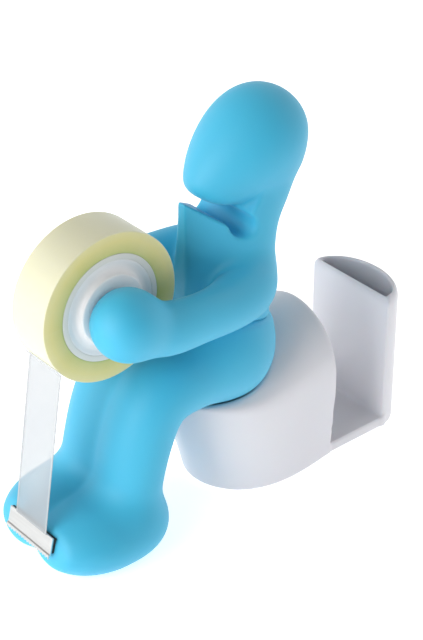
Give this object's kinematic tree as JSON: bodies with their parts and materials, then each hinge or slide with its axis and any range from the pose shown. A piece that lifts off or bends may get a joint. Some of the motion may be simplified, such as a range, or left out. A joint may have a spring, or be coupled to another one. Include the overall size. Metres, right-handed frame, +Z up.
{
  "type": "office supply holder",
  "caption": "Desk organizer: a faceless seated figure grips a tape roll, with a slotted mouth and a toothed cutter on the toes, on a white pedestal with a slot and a tank behind.",
  "frame": {"origin": "centre of the bounding box on the floor", "axes": "+Z up, -Y towards the front where the figure faces, +X towards the figure's left"},
  "size_m": [0.0682, 0.1808, 0.1637],
  "materials": {
    "blue_soft": "soft-touch matt",
    "white_gloss": "smooth satin gloss",
    "core_white": "smooth",
    "tape_film": "wound clear film, slightly yellow",
    "clear_film": "clear film",
    "cutter_steel": "plated sheet",
    "dark_foam": "foam",
    "grey_rubber": "matt",
    "steel": "plain",
    "magnet": "sintered",
    "iron": "raw"
  },
  "bodies": {
    "base": {"base_shell": "white_gloss", "base_plate": "white_gloss", "base_screws": "steel", "base_feet": "grey_rubber"},
    "figure": {"upper_body": "blue_soft", "lower_body": "blue_soft", "waist_screw": "steel", "seat_magnet": "magnet", "magnet_cover": "blue_soft", "ballast_block": "iron", "sole_plate": "blue_soft", "sole_screws": "steel", "sole_pads": "grey_rubber", "hub_axle": "steel", "tape_tail": "clear_film", "cutter_blade": "cutter_steel", "cutter_pad": "dark_foam"},
    "roll": {"hub_left": "white_gloss", "hub_right": "white_gloss", "tape_core": "core_white", "tape_winding": "tape_film"}
  },
  "joints": [
    {"name": "figure_lift", "type": "slide", "parent": "base", "child": "figure", "axis": [0, 0, 1], "range_m": [0, 0.08]},
    {"name": "roll_spin", "type": "hinge", "parent": "figure", "child": "roll", "pos_m": [0, -0.05473, 0.1038], "axis": [1, 0, 0], "continuous": true}
  ]
}
